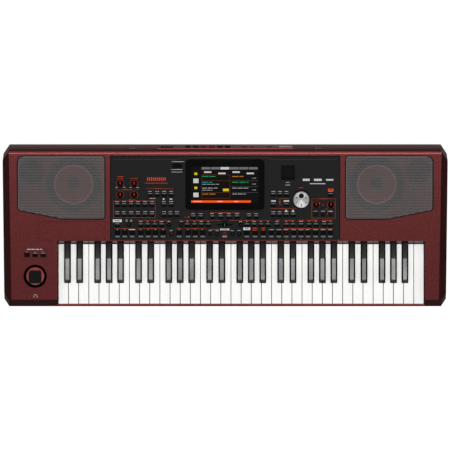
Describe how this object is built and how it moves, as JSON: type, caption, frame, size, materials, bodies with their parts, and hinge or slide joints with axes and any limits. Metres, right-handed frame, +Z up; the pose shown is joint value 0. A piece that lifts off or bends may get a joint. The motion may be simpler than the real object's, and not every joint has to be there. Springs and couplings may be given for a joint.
{
  "type": "arranger keyboard",
  "caption": "Wide electronic keyboard with a sloping deck, hinged keys, speakers, a display panel with push buttons, knobs and a dial, a joystick and a rear socket bay.",
  "frame": {"origin": "on the floor under the middle of the bounding box", "axes": "+X to the player's right along the keys, +Y to the rear, +Z up"},
  "size_m": [1.037, 0.3786, 0.132],
  "materials": {
    "red_metal": "satin red paint",
    "dark_plastic": "matte",
    "case_plastic": "matte",
    "panel_plastic": "satin",
    "grille_steel": "matte black",
    "speaker_frame": "black",
    "speaker_cone": "paper",
    "screen_glass": "gloss",
    "screen_module": "matte",
    "steel": "brushed",
    "frame_sheet": "plain",
    "board": "satin",
    "socket_plastic": "matte",
    "foot_rubber": "matte",
    "white_key": "gloss",
    "black_key": "satin",
    "button": "satin",
    "red_button": "satin",
    "knob": "satin",
    "dial": "silver",
    "stick": "satin"
  },
  "bodies": {
    "case": {"bottom_case": "case_plastic", "top_panel": "red_metal", "left_end_cheek": "dark_plastic", "right_end_cheek": "dark_plastic", "key_slip": "red_metal", "rear_panel": "dark_plastic", "control_panel": "panel_plastic", "speaker_grilles": "grille_steel", "woofer_baskets": "speaker_frame", "woofer_cones": "speaker_cone", "tweeters": "speaker_frame", "display_glass": "screen_glass", "lcd_module": "screen_module", "key_frame": "frame_sheet", "key_pivot_rod": "steel", "key_contact_board": "board", "main_board": "board", "panel_board": "board", "power_supply": "board", "line_jacks": "socket_plastic", "data_sockets": "socket_plastic", "power_inlet": "socket_plastic", "music_stand_sockets": "case_plastic", "joystick_housing": "case_plastic", "rubber_feet": "foot_rubber", "case_screws": "steel"},
    "keys_1_c_e_g_b": {"keys_1_c_e_g_b": "white_key"},
    "keys_1_d_f_a": {"keys_1_d_f_a": "white_key"},
    "keys_1_black": {"keys_1_black": "black_key"},
    "keys_2_c_e_g_b": {"keys_2_c_e_g_b": "white_key"},
    "keys_2_d_f_a": {"keys_2_d_f_a": "white_key"},
    "keys_2_black": {"keys_2_black": "black_key"},
    "keys_3_c_e_g_b": {"keys_3_c_e_g_b": "white_key"},
    "keys_3_d_f_a": {"keys_3_d_f_a": "white_key"},
    "keys_3_black": {"keys_3_black": "black_key"},
    "keys_4_c_e_g_b": {"keys_4_c_e_g_b": "white_key"},
    "keys_4_d_f_a": {"keys_4_d_f_a": "white_key"},
    "keys_4_black": {"keys_4_black": "black_key"},
    "keys_5_c_e_g_b": {"keys_5_c_e_g_b": "white_key"},
    "keys_5_d_f_a": {"keys_5_d_f_a": "white_key"},
    "keys_5_black": {"keys_5_black": "black_key"},
    "volume_knob": {"volume_knob": "knob"},
    "tone_knob": {"tone_knob": "knob"},
    "assign_knob_left": {"assign_knob_left": "knob"},
    "assign_knob_right": {"assign_knob_right": "knob"},
    "voice_level_knob": {"voice_level_knob": "knob"},
    "voice_effect_knob": {"voice_effect_knob": "knob"},
    "style_buttons": {"style_buttons": "button"},
    "mode_buttons": {"mode_buttons": "button"},
    "player_buttons": {"player_buttons": "button"},
    "round_buttons": {"round_buttons": "button"},
    "assign_switches": {"assign_switches": "button"},
    "intro_buttons": {"intro_buttons": "button"},
    "sound_buttons": {"sound_buttons": "button"},
    "start_stop_button": {"start_stop_button": "red_button"},
    "joystick_gimbal": {"joystick_gimbal": "case_plastic"},
    "joystick_stick": {"joystick_stick": "stick"},
    "value_dial": {"value_dial": "dial"},
    "balance_slider": {"balance_slider": "knob"},
    "power_rocker": {"power_rocker": "socket_plastic"}
  },
  "joints": [
    {"name": "joystick_up_down", "type": "hinge", "parent": "case", "child": "joystick_gimbal", "pos_m": [-0.443, -0.1168, 0.07401], "axis": [1, 0, 0], "range_deg": [-14, 14], "stiffness_Nm_per_rad": 0.3},
    {"name": "joystick_left_right", "type": "hinge", "parent": "joystick_gimbal", "child": "joystick_stick", "pos_m": [-0.443, -0.1168, 0.07401], "axis": [0, 0.9914, 0.1305], "range_deg": [-14, 14], "stiffness_Nm_per_rad": 0.3},
    {"name": "value_dial_turn", "type": "hinge", "parent": "case", "child": "value_dial", "pos_m": [0.17732, 0.06001, 0.11545], "axis": [0, -0.1305, 0.9914], "continuous": true},
    {"name": "balance_slide", "type": "slide", "parent": "case", "child": "balance_slider", "axis": [1, 0, 0], "range_m": [-0.015, 0.015]},
    {"name": "volume_knob_turn", "type": "hinge", "parent": "case", "child": "volume_knob", "pos_m": [-0.24442, 0.09683, 0.12029], "axis": [0, -0.1305, 0.9914], "range_deg": [-150, 150]},
    {"name": "tone_knob_turn", "type": "hinge", "parent": "case", "child": "tone_knob", "pos_m": [-0.21194, 0.09683, 0.12029], "axis": [0, -0.1305, 0.9914], "range_deg": [-150, 150]},
    {"name": "assign_knob_left_turn", "type": "hinge", "parent": "case", "child": "assign_knob_left", "pos_m": [-0.24442, 0.07072, 0.11686], "axis": [0, -0.1305, 0.9914], "range_deg": [-150, 150]},
    {"name": "assign_knob_right_turn", "type": "hinge", "parent": "case", "child": "assign_knob_right", "pos_m": [-0.21194, 0.07072, 0.11686], "axis": [0, -0.1305, 0.9914], "range_deg": [-150, 150]},
    {"name": "voice_level_knob_turn", "type": "hinge", "parent": "case", "child": "voice_level_knob", "pos_m": [0.21194, 0.04773, 0.11383], "axis": [0, -0.1305, 0.9914], "range_deg": [-150, 150]},
    {"name": "voice_effect_knob_turn", "type": "hinge", "parent": "case", "child": "voice_effect_knob", "pos_m": [0.24655, 0.04773, 0.11383], "axis": [0, -0.1305, 0.9914], "range_deg": [-150, 150]},
    {"name": "style_buttons_press", "type": "slide", "parent": "case", "child": "style_buttons", "axis": [0, 0.1305, -0.9914], "range_m": [0, 0.0012], "stiffness_N_per_m": 300, "springref_m": -0.003},
    {"name": "mode_buttons_press", "type": "slide", "parent": "case", "child": "mode_buttons", "axis": [0, 0.1305, -0.9914], "range_m": [0, 0.0012], "stiffness_N_per_m": 500, "springref_m": -0.003},
    {"name": "player_buttons_press", "type": "slide", "parent": "case", "child": "player_buttons", "axis": [0, 0.1305, -0.9914], "range_m": [0, 0.0012], "stiffness_N_per_m": 400, "springref_m": -0.003},
    {"name": "round_buttons_press", "type": "slide", "parent": "case", "child": "round_buttons", "axis": [0, 0.1305, -0.9914], "range_m": [0, 0.0012], "stiffness_N_per_m": 250, "springref_m": -0.003},
    {"name": "assign_switches_press", "type": "slide", "parent": "case", "child": "assign_switches", "axis": [0, 0.1305, -0.9914], "range_m": [0, 0.0012], "stiffness_N_per_m": 150, "springref_m": -0.003},
    {"name": "intro_buttons_press", "type": "slide", "parent": "case", "child": "intro_buttons", "axis": [0, 0.1305, -0.9914], "range_m": [0, 0.0012], "stiffness_N_per_m": 300, "springref_m": -0.003},
    {"name": "sound_buttons_press", "type": "slide", "parent": "case", "child": "sound_buttons", "axis": [0, 0.1305, -0.9914], "range_m": [0, 0.0012], "stiffness_N_per_m": 300, "springref_m": -0.003},
    {"name": "start_stop_button_press", "type": "slide", "parent": "case", "child": "start_stop_button", "axis": [0, 0.1305, -0.9914], "range_m": [0, 0.0012], "stiffness_N_per_m": 100, "springref_m": -0.003},
    {"name": "power_rocker_tilt", "type": "hinge", "parent": "case", "child": "power_rocker", "pos_m": [-0.10744, 0.1726, 0.06], "axis": [1, 0, 0], "range_deg": [0, 16]},
    {"name": "keys_1_c_e_g_b_press", "type": "hinge", "parent": "case", "child": "keys_1_c_e_g_b", "pos_m": [0.0373, 0.022, 0.064], "axis": [1, 0, 0], "range_deg": [0, 2.79], "stiffness_Nm_per_rad": 6, "springref_deg": -5.73},
    {"name": "keys_1_d_f_a_press", "type": "hinge", "parent": "case", "child": "keys_1_d_f_a", "pos_m": [0.0373, 0.022, 0.064], "axis": [1, 0, 0], "range_deg": [0, 2.79], "stiffness_Nm_per_rad": 6, "springref_deg": -5.73},
    {"name": "keys_1_black_press", "type": "hinge", "parent": "case", "child": "keys_1_black", "pos_m": [0.0373, 0.022, 0.064], "axis": [1, 0, 0], "range_deg": [0, 2.79], "stiffness_Nm_per_rad": 6, "springref_deg": -5.73},
    {"name": "keys_2_c_e_g_b_press", "type": "hinge", "parent": "case", "child": "keys_2_c_e_g_b", "pos_m": [0.0373, 0.022, 0.064], "axis": [1, 0, 0], "range_deg": [0, 2.79], "stiffness_Nm_per_rad": 6, "springref_deg": -5.73},
    {"name": "keys_2_d_f_a_press", "type": "hinge", "parent": "case", "child": "keys_2_d_f_a", "pos_m": [0.0373, 0.022, 0.064], "axis": [1, 0, 0], "range_deg": [0, 2.79], "stiffness_Nm_per_rad": 6, "springref_deg": -5.73},
    {"name": "keys_2_black_press", "type": "hinge", "parent": "case", "child": "keys_2_black", "pos_m": [0.0373, 0.022, 0.064], "axis": [1, 0, 0], "range_deg": [0, 2.79], "stiffness_Nm_per_rad": 6, "springref_deg": -5.73},
    {"name": "keys_3_c_e_g_b_press", "type": "hinge", "parent": "case", "child": "keys_3_c_e_g_b", "pos_m": [0.0373, 0.022, 0.064], "axis": [1, 0, 0], "range_deg": [0, 2.79], "stiffness_Nm_per_rad": 6, "springref_deg": -5.73},
    {"name": "keys_3_d_f_a_press", "type": "hinge", "parent": "case", "child": "keys_3_d_f_a", "pos_m": [0.0373, 0.022, 0.064], "axis": [1, 0, 0], "range_deg": [0, 2.79], "stiffness_Nm_per_rad": 6, "springref_deg": -5.73},
    {"name": "keys_3_black_press", "type": "hinge", "parent": "case", "child": "keys_3_black", "pos_m": [0.0373, 0.022, 0.064], "axis": [1, 0, 0], "range_deg": [0, 2.79], "stiffness_Nm_per_rad": 6, "springref_deg": -5.73},
    {"name": "keys_4_c_e_g_b_press", "type": "hinge", "parent": "case", "child": "keys_4_c_e_g_b", "pos_m": [0.0373, 0.022, 0.064], "axis": [1, 0, 0], "range_deg": [0, 2.79], "stiffness_Nm_per_rad": 6, "springref_deg": -5.73},
    {"name": "keys_4_d_f_a_press", "type": "hinge", "parent": "case", "child": "keys_4_d_f_a", "pos_m": [0.0373, 0.022, 0.064], "axis": [1, 0, 0], "range_deg": [0, 2.79], "stiffness_Nm_per_rad": 6, "springref_deg": -5.73},
    {"name": "keys_4_black_press", "type": "hinge", "parent": "case", "child": "keys_4_black", "pos_m": [0.0373, 0.022, 0.064], "axis": [1, 0, 0], "range_deg": [0, 2.79], "stiffness_Nm_per_rad": 6, "springref_deg": -5.73},
    {"name": "keys_5_c_e_g_b_press", "type": "hinge", "parent": "case", "child": "keys_5_c_e_g_b", "pos_m": [0.0373, 0.022, 0.064], "axis": [1, 0, 0], "range_deg": [0, 2.79], "stiffness_Nm_per_rad": 6, "springref_deg": -5.73},
    {"name": "keys_5_d_f_a_press", "type": "hinge", "parent": "case", "child": "keys_5_d_f_a", "pos_m": [0.0373, 0.022, 0.064], "axis": [1, 0, 0], "range_deg": [0, 2.79], "stiffness_Nm_per_rad": 6, "springref_deg": -5.73},
    {"name": "keys_5_black_press", "type": "hinge", "parent": "case", "child": "keys_5_black", "pos_m": [0.0373, 0.022, 0.064], "axis": [1, 0, 0], "range_deg": [0, 2.79], "stiffness_Nm_per_rad": 6, "springref_deg": -5.73}
  ]
}
